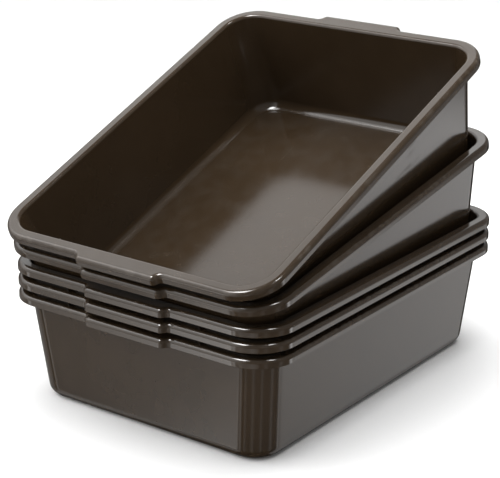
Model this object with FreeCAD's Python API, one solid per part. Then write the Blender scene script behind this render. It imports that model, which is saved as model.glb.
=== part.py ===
import FreeCAD, Part
import math
import os

# A caddy of five nesting tubs. Each tub is one thin moulding: a drafted rounded box with a flat flange round
# its mouth, a turned-down lip, a wider grip in the flange at both short ends, and stacking ribs under the
# flange. Three tubs lie flat in one another, and the upper two are tipped up at the back, each wedged in the
# tub below it. The base edge of the bottom tub is rounded. On the other four, where the tub below hides it,
# it is a plain bevel. Millimetres, +Z up, origin at the middle of the bottom tub's underside, front end
# towards -Y.

# Rim: outer size without the grips, and the turned-down lip
RIM_LENGTH = 430.0
RIM_WIDTH = 325.0
RIM_CORNER_RADIUS = 42.0
FLANGE_WIDTH = 12.0
FLANGE_THICKNESS = 1.4
LIP_HEIGHT = 9.0
LIP_THICKNESS = 1.2

# Grip: the part of the rim that swells outwards at each short end
GRIP_WIDTH = 86.0
GRIP_BULGE = 7.0
GRIP_STEP_RADIUS = 5.8

# Body below the rim
TUB_HEIGHT = 114.0
WALL = 1.2
FLOOR = 1.6
BASE_EDGE_RADIUS = 12.0
BASE_EDGE_BEVEL = 8.5
MOUTH_BEVEL = 3.0

# Stacking ribs, which land on the flange of the tub below
RIB_THICKNESS = 1.2
RIB_TIP_INSET = 8.0
RIB_ROOT_INSET = 6.0
END_RIB_SPACING = 160.0
SIDE_RIB_SPACING = 240.0

# Nesting: how far each tub stands above the one below, and the room between their walls
NEST_PITCH = 15.0
NEST_CLEARANCE = 0.25

# Tilt of each tipped tub, measured from the tub that it leans in, in degrees
FOURTH_TILT = 9.3
TOP_TILT = 11.6
WEDGE_CLEARANCE = 0.3

# Values that follow from the sizes above
SLOPE = (WALL + NEST_CLEARANCE) / NEST_PITCH
DRAFT = math.atan(SLOPE)
HALF_LENGTH = RIM_LENGTH / 2
HALF_WIDTH = RIM_WIDTH / 2
BODY_CORNER_RADIUS = RIM_CORNER_RADIUS - FLANGE_WIDTH
X_AXIS = FreeCAD.Vector(1, 0, 0)
Z_AXIS = FreeCAD.Vector(0, 0, 1)
TOLERANCE = 1e-6


def point(x, y, z=0.0):
    return FreeCAD.Vector(x, y, z)


def arc(centre_x, centre_y, radius, start, end, z):
    """An arc edge about a vertical axis, between two angles in radians."""
    spots = []
    for angle in (start, (start + end) / 2, end):
        spots.append(point(centre_x + radius * math.cos(angle), centre_y + radius * math.sin(angle), z))
    return Part.Arc(*spots).toShape()


def joined(pieces):
    """A closed wire through edges in order, with straight edges laid in the gaps between them."""
    edges = []
    for index, piece in enumerate(pieces):
        follower = pieces[(index + 1) % len(pieces)]
        edges.append(piece)
        end = piece.valueAt(piece.LastParameter)
        start = follower.valueAt(follower.FirstParameter)
        if end.distanceToPoint(start) > TOLERANCE:
            edges.append(Part.makeLine(end, start))
    return Part.Wire(edges)


def half_turned(edges):
    """Copies of edges turned half way round the vertical axis."""
    copies = []
    for edge in edges:
        copies.append(edge.copy())
        copies[-1].rotate(point(0, 0), Z_AXIS, 180)
    return copies


def rim_outline(inset, z):
    """The rim's outer line, grips included, moved inwards by inset."""
    turn = math.acos(1 - GRIP_BULGE / (2 * GRIP_STEP_RADIUS))
    crest_x = GRIP_WIDTH / 2
    crest_y = HALF_LENGTH + GRIP_BULGE - GRIP_STEP_RADIUS
    dip_x = crest_x + 2 * GRIP_STEP_RADIUS * math.sin(turn)
    dip_y = HALF_LENGTH + GRIP_STEP_RADIUS
    crest_radius = GRIP_STEP_RADIUS - inset
    dip_radius = GRIP_STEP_RADIUS + inset
    centre_x = HALF_WIDTH - RIM_CORNER_RADIUS
    centre_y = HALF_LENGTH - RIM_CORNER_RADIUS
    corner_radius = RIM_CORNER_RADIUS - inset
    up = math.pi / 2
    half = [
        arc(centre_x, centre_y, corner_radius, 0, up, z),
        arc(dip_x, dip_y, dip_radius, -up, -up - turn, z),
        arc(crest_x, crest_y, crest_radius, up - turn, up, z),
        arc(-crest_x, crest_y, crest_radius, up, up + turn, z),
        arc(-dip_x, dip_y, dip_radius, -up + turn, -up, z),
        arc(-centre_x, centre_y, corner_radius, up, math.pi, z),
    ]
    return joined(half + half_turned(half))


def wall_inset(z):
    """How far the outside of the drafted wall lies in from the rim's outer line at height z."""
    return FLANGE_WIDTH + (TUB_HEIGHT - z) * SLOPE


def drafted_box(low, high, inset):
    """Solid with flat drafted sides and rounded upright corners, its sides inset from the wall's outside."""
    low_inset = wall_inset(low) + inset
    high_inset = wall_inset(high) + inset
    low_x = HALF_WIDTH - low_inset
    low_y = HALF_LENGTH - low_inset
    high_x = HALF_WIDTH - high_inset
    high_y = HALF_LENGTH - high_inset
    block = Part.makeWedge(-low_x, low, -low_y, -high_y, -high_x, low_x, high, low_y, high_y, high_x)
    block.rotate(point(0, 0), X_AXIS, 90)
    upright = [edge for edge in block.Edges if edge.BoundBox.ZLength > TOLERANCE]
    return block.makeFillet(BODY_CORNER_RADIUS - inset, upright)


def eased_box(low, high, inset, rounded):
    """Drafted box whose bottom edge is rounded or bevelled, in step with the wall's outside."""
    block = drafted_box(low, high, inset)
    if rounded:
        return block.makeFillet(BASE_EDGE_RADIUS - inset, level_edges(block, low))
    return block.makeChamfer(BASE_EDGE_BEVEL - inset, level_edges(block, low))


def slab(outline, height):
    """Solid of the given height standing on a flat closed outline."""
    return Part.Face(outline).extrude(point(0, 0, height))


def level_edges(shape, z, inside=0.0):
    """Edges that lie flat at height z, further in from the rim's outer line than the inside inset."""
    found = []
    for edge in shape.Edges:
        box = edge.BoundBox
        if abs(box.ZMin - z) > TOLERANCE or abs(box.ZMax - z) > TOLERANCE:
            continue
        spot = edge.valueAt((edge.FirstParameter + edge.LastParameter) / 2)
        if rim_inset(spot) > inside:
            found.append(edge)
    return found


def rim_inset(spot):
    """How far a point lies in from the rim's outer line, measured square to it."""
    over_x = abs(spot.x) - (HALF_WIDTH - RIM_CORNER_RADIUS)
    over_y = abs(spot.y) - (HALF_LENGTH - RIM_CORNER_RADIUS)
    if over_x > 0 and over_y > 0:
        return RIM_CORNER_RADIUS - math.hypot(over_x, over_y)
    return RIM_CORNER_RADIUS - max(over_x, over_y)


def rim():
    """Flange plate over the whole mouth, with its turned-down lip."""
    lip_bottom = TUB_HEIGHT - LIP_HEIGHT
    cap = slab(rim_outline(0, lip_bottom), LIP_HEIGHT)
    hollow = slab(rim_outline(LIP_THICKNESS, lip_bottom), LIP_HEIGHT - FLANGE_THICKNESS)
    return cap.cut(hollow)


def rib(reach):
    """Upright rib in the XZ plane at the rim line x = reach, from the flange down to the tub below."""
    flange_under = TUB_HEIGHT - FLANGE_THICKNESS
    foot = TUB_HEIGHT - NEST_PITCH
    inner = reach - wall_inset(foot) - WALL / 2
    corners = [
        point(inner, 0, foot),
        point(reach - RIB_TIP_INSET, 0, foot),
        point(reach - RIB_ROOT_INSET, 0, flange_under),
        point(inner, 0, flange_under),
    ]
    plate = Part.Face(Part.makePolygon(corners + corners[:1]))
    plate.translate(point(0, -RIB_THICKNESS / 2, 0))
    return plate.extrude(point(0, RIB_THICKNESS, 0))


def ribs():
    """Two ribs along each side of the rim."""
    found = []
    for quarter in range(4):
        on_side = quarter % 2 == 0
        reach = HALF_WIDTH if on_side else HALF_LENGTH
        spacing = SIDE_RIB_SPACING if on_side else END_RIB_SPACING
        for along in (-spacing / 2, spacing / 2):
            one = rib(reach)
            one.translate(point(0, along, 0))
            one.rotate(point(0, 0), Z_AXIS, 90 * quarter)
            found.append(one)
    return found


def tub(rounded):
    """One tub standing on the origin, with a rounded or a bevelled base edge."""
    shell = eased_box(0, TUB_HEIGHT - FLANGE_THICKNESS / 2, 0, rounded)
    shell = shell.fuse([rim()] + ribs()).removeSplitter()
    shell = shell.cut(eased_box(FLOOR, TUB_HEIGHT + LIP_HEIGHT, WALL, rounded))
    return shell.makeChamfer(MOUTH_BEVEL, level_edges(shell, TUB_HEIGHT, FLANGE_WIDTH))


def turned(y, z, tilt):
    """A point of the YZ plane after a tilt about the origin."""
    return y * math.cos(tilt) - z * math.sin(tilt), y * math.sin(tilt) + z * math.cos(tilt)


def wedged(tilt):
    """Shift (y, z) that wedges a tipped tub in the tub below it.

    Both tubs are taken with the middle of the rim's front line at the origin. The tipped tub's front wall
    leans on the lower edge of the mouth's bevel on the tub below, and the upper edge of its own base bevel
    on that tub's back wall. Each contact gives one linear equation in the shift, and they are solved together.
    """
    outer = FLANGE_WIDTH
    inner = FLANGE_WIDTH + WALL
    steep = math.cos(DRAFT)

    # Front: the tipped wall's inward direction and one point of it, against the mouth's edge
    wall_y, wall_z = turned(outer, 0, tilt)
    normal_y, normal_z = turned(steep, math.sin(DRAFT), tilt)
    mouth_z = -MOUTH_BEVEL * steep
    mouth_y = inner - mouth_z * SLOPE
    front_gap = (wall_y - mouth_y) * normal_y + (wall_z - mouth_z) * normal_z
    front_need = WEDGE_CLEARANCE - front_gap

    # Back: the tipped base's edge, against the plane of the lower back wall
    edge_z = BASE_EDGE_BEVEL * steep - TUB_HEIGHT
    edge_y = RIM_LENGTH - outer + edge_z * SLOPE
    heel_y, heel_z = turned(edge_y, edge_z, tilt)
    back_gap = (RIM_LENGTH - inner + heel_z * SLOPE - heel_y) * steep
    back_need = WEDGE_CLEARANCE - back_gap
    back_y, back_z = -steep, SLOPE * steep

    scale = normal_y * back_z - normal_z * back_y
    shift_y = (front_need * back_z - back_need * normal_z) / scale
    shift_z = (normal_y * back_need - back_y * front_need) / scale
    return shift_y, shift_z


def tipped(degrees):
    """Place of a tipped tub in the frame of the tub below, both standing on their own origins."""
    shift_y, shift_z = wedged(math.radians(degrees))
    to_rim = FreeCAD.Placement(point(0, HALF_LENGTH, -TUB_HEIGHT), FreeCAD.Rotation())
    tilt = FreeCAD.Placement(point(0, shift_y, shift_z), FreeCAD.Rotation(X_AXIS, degrees))
    return to_rim.inverse() * tilt * to_rim


def places():
    """Pairs of node name and place, from the bottom tub up."""
    found = []
    for level, name in enumerate(("bottom_tub", "second_tub", "third_tub")):
        found.append((name, FreeCAD.Placement(point(0, 0, level * NEST_PITCH), FreeCAD.Rotation())))
    for name, degrees in (("fourth_tub", FOURTH_TILT), ("top_tub", TOP_TILT)):
        found.append((name, found[-1][1] * tipped(degrees)))
    return found


def main():
    os.makedirs("parts", exist_ok=True)
    standing = tub(True)
    nested = tub(False)
    for index, (name, place) in enumerate(places()):
        piece = nested.copy() if index else standing
        piece.Placement = place
        piece.exportStep("parts/" + name + ".step")


main()
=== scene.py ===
"""Looks of a caddy of five nesting tubs: moulded shells, glossy plastic and soft studio light."""

import logging
import math
from dataclasses import dataclass
from enum import Enum

import bpy
import numpy as np
from mathutils import Matrix, Vector

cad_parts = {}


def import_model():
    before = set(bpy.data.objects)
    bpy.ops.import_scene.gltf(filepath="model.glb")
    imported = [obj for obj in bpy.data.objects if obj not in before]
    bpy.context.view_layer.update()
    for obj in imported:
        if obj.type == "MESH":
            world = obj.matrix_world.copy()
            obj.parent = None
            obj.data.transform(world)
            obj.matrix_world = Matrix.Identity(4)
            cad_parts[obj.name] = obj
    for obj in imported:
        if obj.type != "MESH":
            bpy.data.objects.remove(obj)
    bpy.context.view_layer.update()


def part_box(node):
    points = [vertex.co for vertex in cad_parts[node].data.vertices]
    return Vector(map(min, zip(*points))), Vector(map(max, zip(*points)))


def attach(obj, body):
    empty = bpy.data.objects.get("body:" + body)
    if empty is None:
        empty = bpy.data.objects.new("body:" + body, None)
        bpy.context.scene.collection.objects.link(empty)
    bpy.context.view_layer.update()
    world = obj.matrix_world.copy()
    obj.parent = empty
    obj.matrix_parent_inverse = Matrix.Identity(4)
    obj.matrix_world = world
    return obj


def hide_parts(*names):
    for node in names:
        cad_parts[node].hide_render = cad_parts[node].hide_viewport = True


LOG = logging.getLogger("nesting_tubs")
EDGE_ATTRIBUTE = "edge"
MM = 0.001
SAME_SPOT = 1e-6
FOURTH_TILT = 9.3
TOP_TILT = 20.9
FLOAT = "NodeSocketFloat"
VECTOR = "NodeSocketVector"
MIX_INPUTS = (0, 6, 7)
MIX_OUTPUT = 2

Colour = tuple[float, float, float, float]
Pair = tuple[float, float]
Triple = tuple[float, float, float]
Sockets = dict[str, bpy.types.NodeSocket]


class Tub(Enum):
    """The tubs of the stack, from the surface up, by the names of their nodes and bodies."""

    BOTTOM = "bottom_tub"
    SECOND = "second_tub"
    THIRD = "third_tub"
    FOURTH = "fourth_tub"
    TOP = "top_tub"


class Zone(Enum):
    """The line round the tub that a point of the section follows."""

    BODY = "body"
    RIM = "rim"


class Effect(Enum):
    """Surface effects that the finishes share, by the names of their shader groups."""

    FLOW = "mould_flow"
    GRAIN = "fine_grain"
    WEAR = "edge_wear"
    SCUFFS = "fine_scuffs"
    DUST = "settled_dust"


@dataclass(frozen=True)
class Station:
    """One upright section round the tub: where the wall and the rim stand there, and which way they face.

    The wall's spot is its corner radius out from a centre. Each part of the centre either follows the
    tub's half size, with the sign in scale, or keeps the value in fixed.
    """

    scale: Pair
    fixed: Pair
    facing: Pair
    rim_spot: Pair
    rim_facing: Pair

    def half_turned(self) -> "Station":
        """The same section at the other end of the tub."""
        pairs = (self.scale, self.fixed, self.facing, self.rim_spot, self.rim_facing)
        return Station(*[(-pair[0], -pair[1]) for pair in pairs])


@dataclass(frozen=True)
class SectionPoint:
    """One point of the wall's section: distance out from the rim's line, height, and the way it faces."""

    zone: Zone
    out: float
    height: float
    facing: Pair
    corner_radius: float = 0.0
    edge: float = 0.0


@dataclass(frozen=True)
class NoiseLayer:
    """One layer of noise: waves in a metre, finer layers on top, and the span stepped from 0 to 1."""

    scale: float
    detail: float
    span: Pair = (0.0, 1.0)


@dataclass(frozen=True)
class TubForm:
    """Sizes of one moulded tub, in metres. The overall sizes are read from the frame."""

    half_width: float
    half_length: float
    height: float
    grip_bulge: float = 7.0 * MM
    grip_width: float = 86.0 * MM
    grip_step_radius: float = 5.8 * MM
    rim_corner_radius: float = 42.0 * MM
    flange_width: float = 12.0 * MM
    flange_thickness: float = 1.4 * MM
    lip_height: float = 9.0 * MM
    lip_thickness: float = 1.2 * MM
    lip_foot_radius: float = 0.4 * MM
    rim_edge_radius: float = 4.6 * MM
    mouth_radius: float = 3.6 * MM
    wall: float = 1.2 * MM
    floor: float = 1.6 * MM
    base_edge_radius: float = 12.0 * MM
    nest_pitch: float = 15.0 * MM
    nest_clearance: float = 0.25 * MM
    rib_thickness: float = 1.2 * MM
    rib_tip_inset: float = 8.0 * MM
    rib_root_inset: float = 6.0 * MM
    rib_sink: float = 0.6 * MM
    end_rib_spacing: float = 160.0 * MM
    side_rib_spacing: float = 240.0 * MM
    corner_steps: int = 18
    grip_steps: int = 7
    arc_steps: int = 7

    @property
    def slope(self) -> float:
        """How far the wall leans out for each unit of height."""
        return (self.wall + self.nest_clearance) / self.nest_pitch

    @property
    def draft(self) -> float:
        """The wall's lean from upright, in radians."""
        return math.atan(self.slope)

    @property
    def body_corner_radius(self) -> float:
        """Radius of the wall's upright corners, outside."""
        return self.rim_corner_radius - self.flange_width

    def wall_out(self, height: float) -> float:
        """Where the outside of the wall lies at a height, out from the rim's line and so negative."""
        return -self.flange_width - (self.height - height) * self.slope


class TubShell:
    """Mesh of one tub: its section swept round the rim, with the stacking ribs.

    The wear values say how far each edge of the section is open to rubbing, from 0 to 1.
    """

    MOUTH_WEAR = 0.6
    RIM_WEAR = 1.0
    LIP_INSIDE_WEAR = 0.5
    BASE_WEAR = 0.8

    def __init__(self, form: TubForm) -> None:
        """Keeps the sizes and starts with no faces."""
        self.form = form
        self.spots: list[Vector] = []
        self.faces: list[list[int]] = []
        self.face_normals: list[list[Vector]] = []
        self.edges: list[float] = []

    def build(self, name: str, place: Matrix) -> bpy.types.Mesh:
        """Sweeps the shell, adds the ribs and makes the mesh.

        Args:
            name: Name of the mesh.
            place: Where the tub stands.

        Returns:
            The mesh, in its place.
        """
        self._sweep()
        self._add_ribs()
        turn = place.to_3x3()
        mesh = bpy.data.meshes.new(name)
        mesh.from_pydata([place @ spot for spot in self.spots], [], self.faces)
        mesh.attributes.new(EDGE_ATTRIBUTE, "FLOAT", "POINT").data.foreach_set("value", self.edges)
        mesh.shade_smooth()
        normals = [turn @ normal for corners in self.face_normals for normal in corners]
        mesh.normals_split_custom_set(normals)
        return mesh

    def _arc(self, zone: Zone, centre: Pair, radius: float, turn: Pair, hollow: bool = False,
             corner: float = 0.0, edge: float = 0.0) -> list[SectionPoint]:
        """Points along an arc of the section.

        Args:
            zone: Line that the points follow.
            centre: Centre of the arc, out and up.
            radius: Radius of the arc.
            turn: First and last angle in radians, from straight out towards up.
            hollow: Whether the surface faces the centre of the arc.
            corner: Upright corner radius at the centre of the arc.
            edge: How far the arc is open to wear, from 0 to 1.

        Returns:
            The points in order.
        """
        points = []
        sign = -1.0 if hollow else 1.0
        for angle in np.linspace(turn[0], turn[1], self.form.arc_steps + 1):
            across = math.cos(angle)
            up = math.sin(angle)
            share = math.sin(math.pi * (angle - turn[0]) / (turn[1] - turn[0]))
            points.append(SectionPoint(zone, centre[0] + radius * across, centre[1] + radius * up,
                                       (sign * across, sign * up), corner + radius * across, edge * share))
        return points

    def _section(self) -> list[SectionPoint]:
        """The tub's section from the inside floor, over the rim and down to the underside."""
        form = self.form
        quarter = math.pi / 2
        draft = form.draft
        lean = math.cos(draft)
        inner_corner = form.body_corner_radius - form.wall
        inner_base = form.base_edge_radius - form.wall
        under_bend = form.mouth_radius - form.wall
        lip_bend = form.rim_edge_radius - form.lip_thickness
        flange_under = form.height - form.flange_thickness
        lip_bottom = form.height - form.lip_height
        foot = form.lip_foot_radius

        inner_base_z = form.floor + inner_base
        inner_base_out = form.wall_out(inner_base_z) - form.wall - inner_base / lean
        mouth_z = form.height - form.mouth_radius
        mouth_out = form.wall_out(mouth_z) - form.wall + form.mouth_radius / lean
        bend_z = flange_under - under_bend
        bend_out = form.wall_out(bend_z) + under_bend / lean
        base_z = form.base_edge_radius
        base_out = form.wall_out(base_z) - form.base_edge_radius / lean

        points = self._arc(Zone.BODY, (inner_base_out, inner_base_z), inner_base, (-quarter, -draft),
                           hollow=True, corner=inner_corner - inner_base * lean)
        points += self._arc(Zone.BODY, (mouth_out, mouth_z), form.mouth_radius, (math.pi - draft, quarter),
                            corner=inner_corner + form.mouth_radius * lean, edge=self.MOUTH_WEAR)
        points += self._arc(Zone.RIM, (-form.rim_edge_radius, form.height - form.rim_edge_radius),
                            form.rim_edge_radius, (quarter, 0.0), edge=self.RIM_WEAR)
        points += self._arc(Zone.RIM, (-foot, lip_bottom + foot), foot, (0.0, -quarter), edge=self.RIM_WEAR)
        points += self._arc(Zone.RIM, (foot - form.lip_thickness, lip_bottom + foot), foot,
                            (-quarter, -math.pi), edge=self.LIP_INSIDE_WEAR)
        points += self._arc(Zone.RIM, (-form.rim_edge_radius, flange_under - lip_bend), lip_bend,
                            (0.0, quarter), hollow=True)
        points += self._arc(Zone.BODY, (bend_out, bend_z), under_bend, (quarter, math.pi - draft),
                            hollow=True, corner=form.body_corner_radius + under_bend * lean)
        points += self._arc(Zone.BODY, (base_out, base_z), form.base_edge_radius, (-draft, -quarter),
                            corner=form.body_corner_radius - form.base_edge_radius * lean,
                            edge=self.BASE_WEAR)
        return points

    def _corner_stations(self, side: float) -> list[Station]:
        """Sections round one upright corner of the back end, on the +X side or the -X side."""
        form = self.form
        radius = form.rim_corner_radius
        centre = (side * (form.half_width - radius), form.half_length - radius)
        stations = []
        first = 0.0 if side > 0 else math.pi / 2
        for angle in np.linspace(first, first + math.pi / 2, form.corner_steps + 1):
            facing = (math.cos(angle), math.sin(angle))
            rim_spot = (centre[0] + radius * facing[0], centre[1] + radius * facing[1])
            stations.append(Station((side, 1.0), (0.0, 0.0), facing, rim_spot, facing))
        return stations

    def _grip_stations(self) -> list[Station]:
        """Sections along the back end's grip: a step out, the crest and a step back, from +X to -X."""
        form = self.form
        radius = form.grip_step_radius
        up = math.pi / 2
        turn = math.acos(1 - form.grip_bulge / (2 * radius))
        crest_x = form.grip_width / 2
        crest_y = form.half_length + form.grip_bulge - radius
        dip_x = crest_x + 2 * radius * math.sin(turn)
        dip_y = form.half_length + radius
        arcs = (
            ((dip_x, dip_y), -1.0, -up, -up - turn),
            ((crest_x, crest_y), 1.0, up - turn, up),
            ((-crest_x, crest_y), 1.0, up, up + turn),
            ((-dip_x, dip_y), -1.0, -up + turn, -up),
        )
        stations = []
        for centre, sign, start, end in arcs:
            for angle in np.linspace(start, end, form.grip_steps + 1):
                away = (math.cos(angle), math.sin(angle))
                spot = (centre[0] + radius * away[0], centre[1] + radius * away[1])
                if stations and math.dist(spot, stations[-1].rim_spot) < SAME_SPOT:
                    continue
                facing = (sign * away[0], sign * away[1])
                stations.append(Station((0.0, 1.0), (spot[0], 0.0), (0.0, 1.0), spot, facing))
        return stations

    def _stations(self) -> list[Station]:
        """All sections round the tub, counter-clockwise from the +X side's back corner."""
        half = self._corner_stations(1.0) + self._grip_stations() + self._corner_stations(-1.0)
        return half + [station.half_turned() for station in half]

    def _spot(self, station: Station, point: SectionPoint) -> Vector:
        """Where a point of the section lies at a station."""
        form = self.form
        if point.zone is Zone.RIM:
            across = [station.rim_spot[k] + point.out * station.rim_facing[k] for k in range(2)]
            return Vector((*across, point.height))
        halves = (form.half_width, form.half_length)
        across = []
        for k in range(2):
            centre = station.scale[k] * (halves[k] + point.out - point.corner_radius) + station.fixed[k]
            across.append(centre + point.corner_radius * station.facing[k])
        return Vector((*across, point.height))

    def _normal(self, station: Station, point: SectionPoint) -> Vector:
        """The way the surface faces at a point of the section, with the lean of the drafted corners."""
        away, up = point.facing
        facing = station.rim_facing
        if point.zone is Zone.BODY:
            facing = station.facing
            up -= self.form.slope * away * (abs(facing[0]) + abs(facing[1]) - 1.0)
        return Vector((away * facing[0], away * facing[1], up)).normalized()

    def _sweep(self) -> None:
        """Carries the section round the tub and closes the floor inside and underneath."""
        stations = self._stations()
        section = self._section()
        count = len(stations)
        normals = []
        for point in section:
            for station in stations:
                self.spots.append(self._spot(station, point))
                normals.append(self._normal(station, point))
                self.edges.append(point.edge)
        for row in range(len(section) - 1):
            for index in range(count):
                follower = (index + 1) % count
                upper = row * count
                lower = upper + count
                self._add_face([upper + index, lower + index, lower + follower, upper + follower], normals)
        self._add_face(list(range(count)), normals)
        last = (len(section) - 1) * count
        self._add_face(list(reversed(range(last, last + count))), normals)

    def _add_face(self, corners: list[int], normals: list[Vector]) -> None:
        """Adds one smooth face, with the normals of its corners."""
        self.faces.append(corners)
        self.face_normals.append([normals[corner] for corner in corners])

    def _add_ribs(self) -> None:
        """Adds the two upright stacking ribs under each side of the flange."""
        form = self.form
        for quarter in range(4):
            on_side = quarter % 2 == 0
            reach = form.half_width if on_side else form.half_length
            spacing = form.side_rib_spacing if on_side else form.end_rib_spacing
            turn = Matrix.Rotation(quarter * math.pi / 2, 3, "Z")
            for along in (-spacing / 2, spacing / 2):
                self._add_rib(reach, along, turn)

    def _add_rib(self, reach: float, along: float, turn: Matrix) -> None:
        """Adds one rib, from the flange down to the rim of the tub below.

        Args:
            reach: Distance from the middle of the tub to the rim's line.
            along: Place along that side.
            turn: Turn that brings the +X side to the rib's side.
        """
        form = self.form
        top = form.height - form.flange_thickness / 2
        foot = form.height - form.nest_pitch
        outline = (
            (reach + form.wall_out(foot) - form.rib_sink, foot),
            (reach - form.rib_tip_inset, foot),
            (reach - form.rib_root_inset, top),
            (reach + form.wall_out(top) - form.rib_sink, top),
        )
        first = len(self.spots)
        for shift in (-form.rib_thickness / 2, form.rib_thickness / 2):
            for out, height in outline:
                self.spots.append(turn @ Vector((out, along + shift, height)))
                self.edges.append(0.0)
        count = len(outline)
        faces = [list(range(count)), list(reversed(range(count, 2 * count)))]
        for index in range(count):
            follower = (index + 1) % count
            faces.append([follower, index, index + count, follower + count])
        for face in faces:
            corners = [first + corner for corner in face]
            flat = (self.spots[corners[1]] - self.spots[corners[0]]).cross(
                self.spots[corners[2]] - self.spots[corners[1]]).normalized()
            self.faces.append(corners)
            self.face_normals.append([flat] * len(corners))


class NodeSheet:
    """A node tree being laid out: adds nodes, sets their values and joins their sockets."""

    def __init__(self, tree: bpy.types.NodeTree) -> None:
        """Keeps the tree, emptied."""
        self.tree = tree
        tree.nodes.clear()

    def node(self, kind: str, **settings: object) -> bpy.types.Node:
        """Adds one node.

        Args:
            kind: Name of the node's type.
            settings: Properties of the node, by name.

        Returns:
            The new node.
        """
        made = self.tree.nodes.new(kind)
        for name, value in settings.items():
            setattr(made, name, value)
        return made

    def feed(self, socket: bpy.types.NodeSocket, value: object) -> None:
        """Joins an input to another socket, or gives it a fixed value."""
        if isinstance(value, bpy.types.NodeSocket):
            self.tree.links.new(value, socket)
        else:
            socket.default_value = value

    def math(self, operation: str, *values: object) -> bpy.types.NodeSocket:
        """The result of one sum on sockets or numbers."""
        made = self.node("ShaderNodeMath", operation=operation)
        for socket, value in zip(made.inputs, values):
            self.feed(socket, value)
        return made.outputs[0]

    def fade(self, value: object, low: object, high: object, start: float = 0.0,
             end: float = 1.0) -> bpy.types.NodeSocket:
        """A smooth step of a value.

        Args:
            value: Socket to read.
            low: Value where the step starts.
            high: Value where the step ends, which may be under low.
            start: Result at low.
            end: Result at high.

        Returns:
            The stepped value.
        """
        made = self.node("ShaderNodeMapRange", interpolation_type="SMOOTHSTEP")
        given = {"Value": value, "From Min": low, "From Max": high, "To Min": start, "To Max": end}
        for name, amount in given.items():
            self.feed(made.inputs[name], amount)
        return made.outputs["Result"]

    def noise(self, position: bpy.types.NodeSocket, seed: object,
              layer: NoiseLayer) -> bpy.types.NodeSocket:
        """Seeded noise at a position, from 0 to 1.

        Args:
            position: Socket with the place.
            seed: Number or socket that tells one pattern from another.
            layer: How fine the noise is.

        Returns:
            The noise value.
        """
        made = self.node("ShaderNodeTexNoise", noise_dimensions="4D")
        given = {"Vector": position, "W": seed, "Scale": layer.scale, "Detail": layer.detail}
        for name, amount in given.items():
            self.feed(made.inputs[name], amount)
        return made.outputs["Fac"]

    def patches(self, position: bpy.types.NodeSocket, seed: object,
                layer: NoiseLayer) -> bpy.types.NodeSocket:
        """Seeded noise, stepped over the layer's span."""
        return self.fade(self.noise(position, seed, layer), *layer.span)

    def stretched(self, position: bpy.types.NodeSocket, scale: Triple,
                  turn: Triple = (0.0, 0.0, 0.0)) -> bpy.types.NodeSocket:
        """A position turned and scaled, so that a pattern runs in one direction."""
        made = self.node("ShaderNodeMapping")
        self.feed(made.inputs["Vector"], position)
        made.inputs["Rotation"].default_value = turn
        made.inputs["Scale"].default_value = scale
        return made.outputs["Vector"]

    def tint(self, factor: object, first: object, second: object) -> bpy.types.NodeSocket:
        """A colour between two colours."""
        made = self.node("ShaderNodeMix", data_type="RGBA")
        for index, amount in zip(MIX_INPUTS, (factor, first, second)):
            self.feed(made.inputs[index], amount)
        return made.outputs[MIX_OUTPUT]


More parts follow.
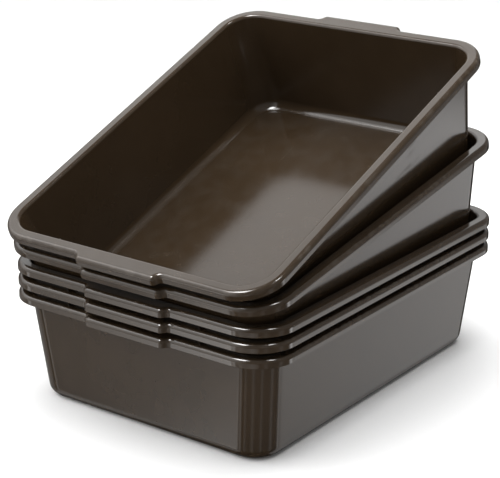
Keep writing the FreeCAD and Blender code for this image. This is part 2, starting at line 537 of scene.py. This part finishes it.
class EffectGroups:
    """Shader groups for the effects that every finish shares."""

    FLOW_STRETCH = (1.0, 1.0, 0.45)
    FLOW_BROAD = NoiseLayer(9.0, 3.0)
    FLOW_CLOSE = NoiseLayer(46.0, 4.0)
    FLOW_BROAD_SHARE = 0.65
    FLOW_CLOSE_SHARE = 0.35
    FLOW_SPAN = (0.36, 0.64)
    GRAIN_FINE = NoiseLayer(1900.0, 2.0)
    GRAIN_FINE_HEIGHT = 0.05
    GRAIN_RIPPLE = NoiseLayer(26.0, 1.0)
    GRAIN_RIPPLE_HEIGHT = 0.4
    WEAR_BROKEN = NoiseLayer(120.0, 5.0, (0.42, 0.66))
    WEAR_PATCHES = NoiseLayer(14.0, 1.0, (0.40, 0.62))
    WEAR_EDGE_SPAN = (0.2, 1.0)
    SCUFF_LINES = NoiseLayer(1.0, 1.0, (0.66, 0.74))
    SCUFF_PATCHES = NoiseLayer(11.0, 2.0, (0.48, 0.64))
    SCUFF_RUNS = (
        ((0.3, 0.5, 0.9), (1400.0, 30.0, 60.0)),
        ((0.9, -0.4, 2.0), (1100.0, 24.0, 40.0)),
    )
    DUST_UP_SPAN = (0.55, 0.95)
    DUST_FILM = NoiseLayer(60.0, 6.0, (0.38, 0.72))

    def __init__(self) -> None:
        """Builds all groups."""
        self.trees = {
            Effect.FLOW: self._flow(),
            Effect.GRAIN: self._grain(),
            Effect.WEAR: self._wear(),
            Effect.SCUFFS: self._scuffs(),
            Effect.DUST: self._dust(),
        }

    def place(self, sheet: NodeSheet, effect: Effect, **inputs: object) -> bpy.types.NodeSocket:
        """Puts an effect in a material.

        Args:
            sheet: The material's nodes.
            effect: Effect to place.
            inputs: Values or sockets for the group's inputs, by name.

        Returns:
            The effect's value.
        """
        made = sheet.node("ShaderNodeGroup", node_tree=self.trees[effect])
        for name, value in inputs.items():
            sheet.feed(made.inputs[name], value)
        return made.outputs[0]

    @staticmethod
    def _open(effect: Effect, output: str, **more: str) -> tuple[NodeSheet, Sockets, bpy.types.NodeSocket]:
        """Starts a group, which takes a position, a seed and what else it needs.

        Args:
            effect: Effect that the group makes.
            output: Name of its one value out.
            more: Socket type of each further input, by name.

        Returns:
            The group's nodes, its inputs by name, and the socket that takes its result.
        """
        tree = bpy.data.node_groups.new(effect.value, "ShaderNodeTree")
        inputs = {"Position": VECTOR, "Seed": FLOAT, **more}
        for name, kind in inputs.items():
            tree.interface.new_socket(name, in_out="INPUT", socket_type=kind)
        tree.interface.new_socket(output, in_out="OUTPUT", socket_type=FLOAT)
        sheet = NodeSheet(tree)
        entry = sheet.node("NodeGroupInput")
        result = sheet.node("NodeGroupOutput")
        return sheet, {name: entry.outputs[name] for name in inputs}, result.inputs[output]

    def _flow(self) -> bpy.types.NodeTree:
        """Broad cloudy shade left by the flow of the melt."""
        sheet, given, result = self._open(Effect.FLOW, "Shade")
        long = sheet.stretched(given["Position"], self.FLOW_STRETCH)
        broad = sheet.noise(long, given["Seed"], self.FLOW_BROAD)
        close = sheet.noise(given["Position"], given["Seed"], self.FLOW_CLOSE)
        both = sheet.math("MULTIPLY", broad, self.FLOW_BROAD_SHARE)
        both = sheet.math("MULTIPLY_ADD", close, self.FLOW_CLOSE_SHARE, both)
        sheet.feed(result, sheet.fade(both, *self.FLOW_SPAN))
        return sheet.tree

    def _grain(self) -> bpy.types.NodeTree:
        """Very fine texture of the mould, with a faint long ripple."""
        sheet, given, result = self._open(Effect.GRAIN, "Height")
        fine = sheet.noise(given["Position"], given["Seed"], self.GRAIN_FINE)
        ripple = sheet.noise(given["Position"], given["Seed"], self.GRAIN_RIPPLE)
        height = sheet.math("MULTIPLY", ripple, self.GRAIN_RIPPLE_HEIGHT)
        sheet.feed(result, sheet.math("MULTIPLY_ADD", fine, self.GRAIN_FINE_HEIGHT, height))
        return sheet.tree

    def _wear(self) -> bpy.types.NodeTree:
        """Broken rubbing along the edges that touch other things."""
        sheet, given, result = self._open(Effect.WEAR, "Mask", Edge=FLOAT, Amount=FLOAT)
        broken = sheet.patches(given["Position"], given["Seed"], self.WEAR_BROKEN)
        patches = sheet.patches(given["Position"], given["Seed"], self.WEAR_PATCHES)
        both = sheet.math("MULTIPLY", broken, patches)
        rubbed = sheet.math("MULTIPLY", both, sheet.fade(given["Edge"], *self.WEAR_EDGE_SPAN))
        sheet.feed(result, sheet.math("MULTIPLY", rubbed, given["Amount"]))
        return sheet.tree

    def _scuffs(self) -> bpy.types.NodeTree:
        """Hair-fine scuffs in two directions, in patches."""
        sheet, given, result = self._open(Effect.SCUFFS, "Mask", Amount=FLOAT)
        lines = []
        for turn, scale in self.SCUFF_RUNS:
            along = sheet.stretched(given["Position"], scale, turn)
            lines.append(sheet.patches(along, given["Seed"], self.SCUFF_LINES))
        patches = sheet.patches(given["Position"], given["Seed"], self.SCUFF_PATCHES)
        both = sheet.math("MULTIPLY", sheet.math("MAXIMUM", *lines), patches)
        sheet.feed(result, sheet.math("MULTIPLY", both, given["Amount"]))
        return sheet.tree

    def _dust(self) -> bpy.types.NodeTree:
        """A thin film on what faces up."""
        sheet, given, result = self._open(Effect.DUST, "Mask", Facing=VECTOR, Amount=FLOAT)
        split = sheet.node("ShaderNodeSeparateXYZ")
        sheet.feed(split.inputs[0], given["Facing"])
        up = sheet.fade(split.outputs["Z"], *self.DUST_UP_SPAN)
        film = sheet.patches(given["Position"], given["Seed"], self.DUST_FILM)
        sheet.feed(result, sheet.math("MULTIPLY", sheet.math("MULTIPLY", up, film), given["Amount"]))
        return sheet.tree


@dataclass(frozen=True)
class MouldedFinish:
    """Glossy moulded plastic, with its own pattern of flow marks and its own share of use.

    Flow, wear, scuffs and dust each add their own roughness to that of the clean plastic.
    """

    name: str
    seed: float
    wear: float
    scuffs: float
    dust: float
    deep: Colour = (0.0275, 0.0175, 0.0095, 1.0)
    pale: Colour = (0.0325, 0.0210, 0.0118, 1.0)
    worn: Colour = (0.0620, 0.0500, 0.0390, 1.0)
    film: Colour = (0.0900, 0.0840, 0.0760, 1.0)
    roughness: float = 0.13
    flow_roughness: float = 0.015
    wear_roughness: float = 0.22
    scuff_roughness: float = 0.16
    dust_roughness: float = 0.30
    ior: float = 1.5
    bump_strength: float = 0.06
    bump_depth: float = 0.4 * MM

    def build(self, groups: EffectGroups) -> bpy.types.Material:
        """Makes the material.

        Args:
            groups: The shared shader groups.

        Returns:
            The material of one tub.
        """
        material = bpy.data.materials.new(self.name)
        material.use_nodes = True
        sheet = NodeSheet(material.node_tree)
        position = sheet.node("ShaderNodeTexCoord").outputs["Object"]
        edge = sheet.node("ShaderNodeAttribute", attribute_name=EDGE_ATTRIBUTE).outputs["Fac"]
        facing = sheet.node("ShaderNodeNewGeometry").outputs["Normal"]
        place = {"Position": position, "Seed": self.seed}
        flow = groups.place(sheet, Effect.FLOW, **place)
        wear = groups.place(sheet, Effect.WEAR, Edge=edge, Amount=self.wear, **place)
        scuffs = groups.place(sheet, Effect.SCUFFS, Amount=self.scuffs, **place)
        dust = groups.place(sheet, Effect.DUST, Facing=facing, Amount=self.dust, **place)
        grain = groups.place(sheet, Effect.GRAIN, **place)

        colour = sheet.tint(flow, self.deep, self.pale)
        colour = sheet.tint(wear, colour, self.worn)
        colour = sheet.tint(dust, colour, self.film)
        rough = sheet.math("MULTIPLY_ADD", flow, self.flow_roughness, self.roughness)
        marks = ((wear, self.wear_roughness), (scuffs, self.scuff_roughness), (dust, self.dust_roughness))
        for mask, more in marks:
            rough = sheet.math("MULTIPLY_ADD", mask, more, rough)
        bump = sheet.node("ShaderNodeBump")
        sheet.feed(bump.inputs["Height"], grain)
        bump.inputs["Strength"].default_value = self.bump_strength
        bump.inputs["Distance"].default_value = self.bump_depth

        shader = sheet.node("ShaderNodeBsdfPrincipled")
        sheet.feed(shader.inputs["Base Color"], colour)
        sheet.feed(shader.inputs["Roughness"], rough)
        sheet.feed(shader.inputs["Normal"], bump.outputs["Normal"])
        shader.inputs["IOR"].default_value = self.ior
        result = sheet.node("ShaderNodeOutputMaterial")
        sheet.feed(result.inputs["Surface"], shader.outputs[0])
        return material


@dataclass(frozen=True)
class NestingTub:
    """One tub of the stack: its form, its tilt in degrees and its finish."""

    tub: Tub
    form: TubForm
    tilt: float
    finish: MouldedFinish

    def place(self) -> Matrix:
        """Where the tub stands, worked out from the frame's box and the tilt."""
        low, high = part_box(self.tub.value)
        tilt = math.radians(self.tilt)
        reach = self.form.half_length + self.form.grip_bulge
        y = low.y + reach * math.cos(tilt) + self.form.height * math.sin(tilt)
        z = high.z - reach * math.sin(tilt) - self.form.height * math.cos(tilt)
        return Matrix.Translation((0.0, y, z)) @ Matrix.Rotation(tilt, 4, "X")

    def build(self) -> bpy.types.Object:
        """Makes the shell, stands it in its place and ties it to its body.

        Returns:
            The tub, which stands for its node.
        """
        name = self.tub.value + "_shell"
        piece = bpy.data.objects.new(name, TubShell(self.form).build(name, self.place()))
        bpy.context.scene.collection.objects.link(piece)
        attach(piece, self.tub.value)
        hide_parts(self.tub.value)
        return piece

    def dress(self, piece: bpy.types.Object, groups: EffectGroups) -> None:
        """Gives the tub its finish."""
        piece.data.materials.append(self.finish.build(groups))


@dataclass(frozen=True)
class LightCard:
    """A soft far-off light panel: its middle and half size in degrees, and how bright it is.

    Azimuth 0 lies towards -Y and 90 towards +X. Elevation is up from level. Rise and sweep are the share
    by which it gets brighter for each degree up or round.
    """

    azimuth: float
    elevation: float
    half_width: float
    half_height: float
    softness: float
    radiance: float
    rise: float = 0.0
    sweep: float = 0.0

    def build(self, sheet: NodeSheet, azimuth: bpy.types.NodeSocket,
              elevation: bpy.types.NodeSocket) -> bpy.types.NodeSocket:
        """Lays out the light of the panel.

        Args:
            sheet: The dome's nodes.
            azimuth: Direction round, in radians.
            elevation: Direction up, in radians.

        Returns:
            Its radiance in that direction.
        """
        soft = math.radians(self.softness)
        turned = sheet.math("SUBTRACT", azimuth, math.radians(self.azimuth))
        turned = sheet.math("WRAP", turned, math.pi, -math.pi)
        raised = sheet.math("SUBTRACT", elevation, math.radians(self.elevation))
        light = sheet.math("MULTIPLY_ADD", raised, math.degrees(self.rise), 1.0)
        light = sheet.math("MULTIPLY_ADD", turned, math.degrees(self.sweep), light)
        light = sheet.math("MULTIPLY", sheet.math("MAXIMUM", light, 0.0), self.radiance)
        for offset, half in ((turned, self.half_width), (raised, self.half_height)):
            edge = math.radians(half)
            away = sheet.math("ABSOLUTE", offset)
            light = sheet.math("MULTIPLY", light, sheet.fade(away, edge + soft, edge))
        return light


@dataclass(frozen=True)
class Softbox:
    """A square lamp overhead that lights the floor and draws the shadow, kept out of the gloss."""

    spot: Triple = (0.10, 0.03, 1.35)
    target: Triple = (0.0, 0.0, 0.1)
    size: float = 1.1
    power: float = 23.0

    def build(self) -> None:
        """Makes the lamp."""
        data = bpy.data.lights.new("softbox", "AREA")
        data.size = self.size
        data.energy = self.power
        lamp = bpy.data.objects.new("softbox", data)
        bpy.context.scene.collection.objects.link(lamp)
        lamp.location = self.spot
        lamp.rotation_euler = (Vector(self.target) - Vector(self.spot)).to_track_quat("-Z", "Y").to_euler()
        lamp.visible_glossy = False
        lamp.visible_camera = False


@dataclass(frozen=True)
class Studio:
    """Plain pale floor, a softbox, and a dim dome with the light panels that the gloss mirrors.

    The glints are small bright panels that only the gloss sees. Horizon gives the two elevations, in
    degrees, between which the dome goes over from its light below to its sky.
    """

    floor_size: float = 14.0
    floor_colour: Colour = (0.94, 0.94, 0.94, 1.0)
    floor_roughness: float = 0.7
    backdrop: Colour = (1.0, 1.0, 1.0, 1.0)
    softbox: Softbox = Softbox()
    sky_radiance: float = 0.38
    below_radiance: float = 0.04
    horizon: Pair = (-3.0, 2.0)
    cards: tuple[LightCard, ...] = (
        # High at the left, for the flanges and the roundings of the rims.
        LightCard(-115.0, 41.0, 45.0, 10.5, 4.0, 1.05),
        LightCard(-115.0, 34.5, 45.0, 17.0, 4.0, 1.05),
        LightCard(-45.0, 35.0, 15.0, 15.0, 50.0, 2.0),
        # Low in front, for the end wall.
        LightCard(-42.0, -26.0, 8.0, 11.0, 4.0, 0.95, 0.02, 0.10),
        LightCard(-38.0, -20.0, 5.0, 4.0, 3.0, 2.3, 0.0, 0.20),
        LightCard(-45.5, -37.0, 2.5, 1.0, 1.5, 2.4),
        LightCard(-39.5, -38.0, 2.0, 2.0, 3.0, 1.0),
        # High in front, for the rounded rim edges of that end.
        LightCard(-58.0, 44.0, 22.0, 8.0, 4.0, 2.6),
        # Strips beside the end wall, patches for its lips and a low one for the base edge.
        LightCard(-24.0, -33.0, 1.6, 8.0, 3.0, 1.4),
        LightCard(-54.0, -33.0, 1.6, 8.0, 3.0, 1.6),
        LightCard(-24.0, -18.0, 2.5, 5.0, 2.5, 3.6),
        LightCard(10.0, -19.0, 26.0, 5.0, 5.0, 0.7),
        LightCard(-55.0, -18.0, 4.0, 5.0, 3.0, 2.6),
        LightCard(-58.0, -48.0, 26.0, 2.5, 4.0, 0.9),
        # Low behind at the right, for the long side wall and its lips.
        LightCard(150.0, -29.5, 18.0, 9.5, 2.0, 1.16, 0.075),
        LightCard(150.0, -51.0, 18.0, 11.0, 3.0, 0.7),
        LightCard(182.0, -40.0, 10.0, 10.0, 4.0, 0.36),
        LightCard(150.0, -10.0, 18.0, 8.0, 4.0, 0.45),
        LightCard(130.0, -31.0, 1.4, 8.0, 3.0, 1.4),
        LightCard(129.0, -19.0, 3.0, 4.0, 2.5, 4.4),
        # Upright streaks in the corners, over a faint fill.
        LightCard(-6.0, -26.0, 2.0, 18.0, 3.0, 0.5),
        LightCard(24.0, -26.0, 3.0, 18.0, 4.0, 0.4),
        LightCard(58.0, -26.0, 2.0, 18.0, 3.0, 0.45),
        LightCard(98.0, -26.0, 3.0, 18.0, 4.0, 0.5),
        LightCard(60.0, -28.0, 60.0, 14.0, 10.0, 0.12),
        LightCard(-95.0, -28.0, 22.0, 14.0, 10.0, 0.35),
    )
    glints: tuple[LightCard, ...] = (
        LightCard(-26.0, 59.0, 22.0, 8.0, 3.0, 36.0),
        LightCard(97.0, 63.0, 10.0, 5.0, 3.0, 30.0),
    )

    def build(self) -> None:
        """Makes the floor, the softbox and the dome."""
        self._floor()
        self.softbox.build()
        self._dome()
        bpy.context.scene.view_settings.view_transform = "Standard"

    def _floor(self) -> None:
        """A flat pale floor, kept out of the gloss so that the panels alone draw the reflections."""
        half = self.floor_size / 2
        mesh = bpy.data.meshes.new("studio_floor")
        mesh.from_pydata([(-half, -half, 0), (half, -half, 0), (half, half, 0), (-half, half, 0)], [],
                         [(0, 1, 2, 3)])
        floor = bpy.data.objects.new("studio_floor", mesh)
        bpy.context.scene.collection.objects.link(floor)
        material = bpy.data.materials.new("pale_floor")
        material.use_nodes = True
        shader = material.node_tree.nodes["Principled BSDF"]
        shader.inputs["Base Color"].default_value = self.floor_colour
        shader.inputs["Roughness"].default_value = self.floor_roughness
        mesh.materials.append(material)
        floor.visible_glossy = False

    def _dome(self) -> None:
        """A dim even light all round, dimmer below, plus panels and glints. Seen directly it is plain."""
        world = bpy.data.worlds.new("studio_dome")
        bpy.context.scene.world = world
        world.use_nodes = True
        sheet = NodeSheet(world.node_tree)
        way = sheet.node("ShaderNodeSeparateXYZ")
        sheet.feed(way.inputs[0], sheet.node("ShaderNodeTexCoord").outputs["Generated"])
        toward = sheet.math("MULTIPLY", way.outputs["Y"], -1.0)
        azimuth = sheet.math("ARCTAN2", way.outputs["X"], toward)
        elevation = sheet.math("ARCSINE", way.outputs["Z"])
        low, high = [math.radians(angle) for angle in self.horizon]
        light = sheet.fade(elevation, low, high, self.below_radiance, self.sky_radiance)
        for card in self.cards:
            light = sheet.math("ADD", light, card.build(sheet, azimuth, elevation))
        path = sheet.node("ShaderNodeLightPath")
        for glint in self.glints:
            spark = glint.build(sheet, azimuth, elevation)
            light = sheet.math("MULTIPLY_ADD", spark, path.outputs["Is Glossy Ray"], light)
        glow = sheet.node("ShaderNodeBackground")
        sheet.feed(glow.inputs["Strength"], light)
        plain = sheet.node("ShaderNodeBackground")
        plain.inputs["Color"].default_value = self.backdrop
        chosen = sheet.node("ShaderNodeMixShader")
        sheet.feed(chosen.inputs[0], path.outputs["Is Camera Ray"])
        sheet.feed(chosen.inputs[1], glow.outputs[0])
        sheet.feed(chosen.inputs[2], plain.outputs[0])
        result = sheet.node("ShaderNodeOutputWorld")
        sheet.feed(result.inputs["Surface"], chosen.outputs[0])


@dataclass(frozen=True)
class PhotoCamera:
    """Camera at the photograph's viewing angle: degrees and metres, with the focal length in pixels."""

    azimuth: float = 36.48
    elevation: float = 19.47
    distance: float = 1.7249
    aim: Triple = (-0.0174, 0.0024, 0.1347)
    focal_pixels: float = 1668.7
    image_width: float = 500.0
    sensor_width: float = 36.0

    def build(self) -> None:
        """Makes the camera and gives it to the scene."""
        data = bpy.data.cameras.new("photo_camera")
        data.sensor_fit = "HORIZONTAL"
        data.sensor_width = self.sensor_width
        data.lens = self.focal_pixels / self.image_width * self.sensor_width
        camera = bpy.data.objects.new("photo_camera", data)
        bpy.context.scene.collection.objects.link(camera)
        across = math.radians(self.azimuth)
        up = math.radians(self.elevation)
        back = Vector((math.sin(across) * math.cos(up), -math.cos(across) * math.cos(up), math.sin(up)))
        camera.location = Vector(self.aim) + back * self.distance
        camera.rotation_euler = (-back).to_track_quat("-Z", "Y").to_euler()
        bpy.context.scene.camera = camera


def tub_form() -> TubForm:
    """The form that all tubs share, with its overall sizes read from the flat bottom tub."""
    low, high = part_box(Tub.BOTTOM.value)
    return TubForm(half_width=high.x, half_length=high.y - TubForm.grip_bulge, height=high.z - low.z)


def stack(form: TubForm) -> list[NestingTub]:
    """The five tubs, from the surface up: the upper two are tipped and see the most use."""
    return [
        NestingTub(Tub.BOTTOM, form, 0.0,
                   MouldedFinish("plastic_bottom", seed=1.7, wear=0.5, scuffs=0.3, dust=0.05)),
        NestingTub(Tub.SECOND, form, 0.0,
                   MouldedFinish("plastic_second", seed=5.3, wear=0.4, scuffs=0.3, dust=0.05)),
        NestingTub(Tub.THIRD, form, 0.0,
                   MouldedFinish("plastic_third", seed=9.1, wear=0.4, scuffs=0.3, dust=0.05)),
        NestingTub(Tub.FOURTH, form, FOURTH_TILT,
                   MouldedFinish("plastic_fourth", seed=13.6, wear=0.4, scuffs=0.4, dust=0.05)),
        NestingTub(Tub.TOP, form, TOP_TILT,
                   MouldedFinish("plastic_top", seed=17.2, wear=0.6, scuffs=0.7, dust=0.08)),
    ]


def main() -> None:
    """Loads the frame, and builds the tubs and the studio."""
    logging.basicConfig(level=logging.INFO)
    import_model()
    groups = EffectGroups()
    for tub in stack(tub_form()):
        piece = tub.build()
        tub.dress(piece, groups)
        LOG.info("%s: %d faces", piece.name, len(piece.data.polygons))
    Studio().build()
    PhotoCamera().build()


if __name__ == "__main__":
    main()
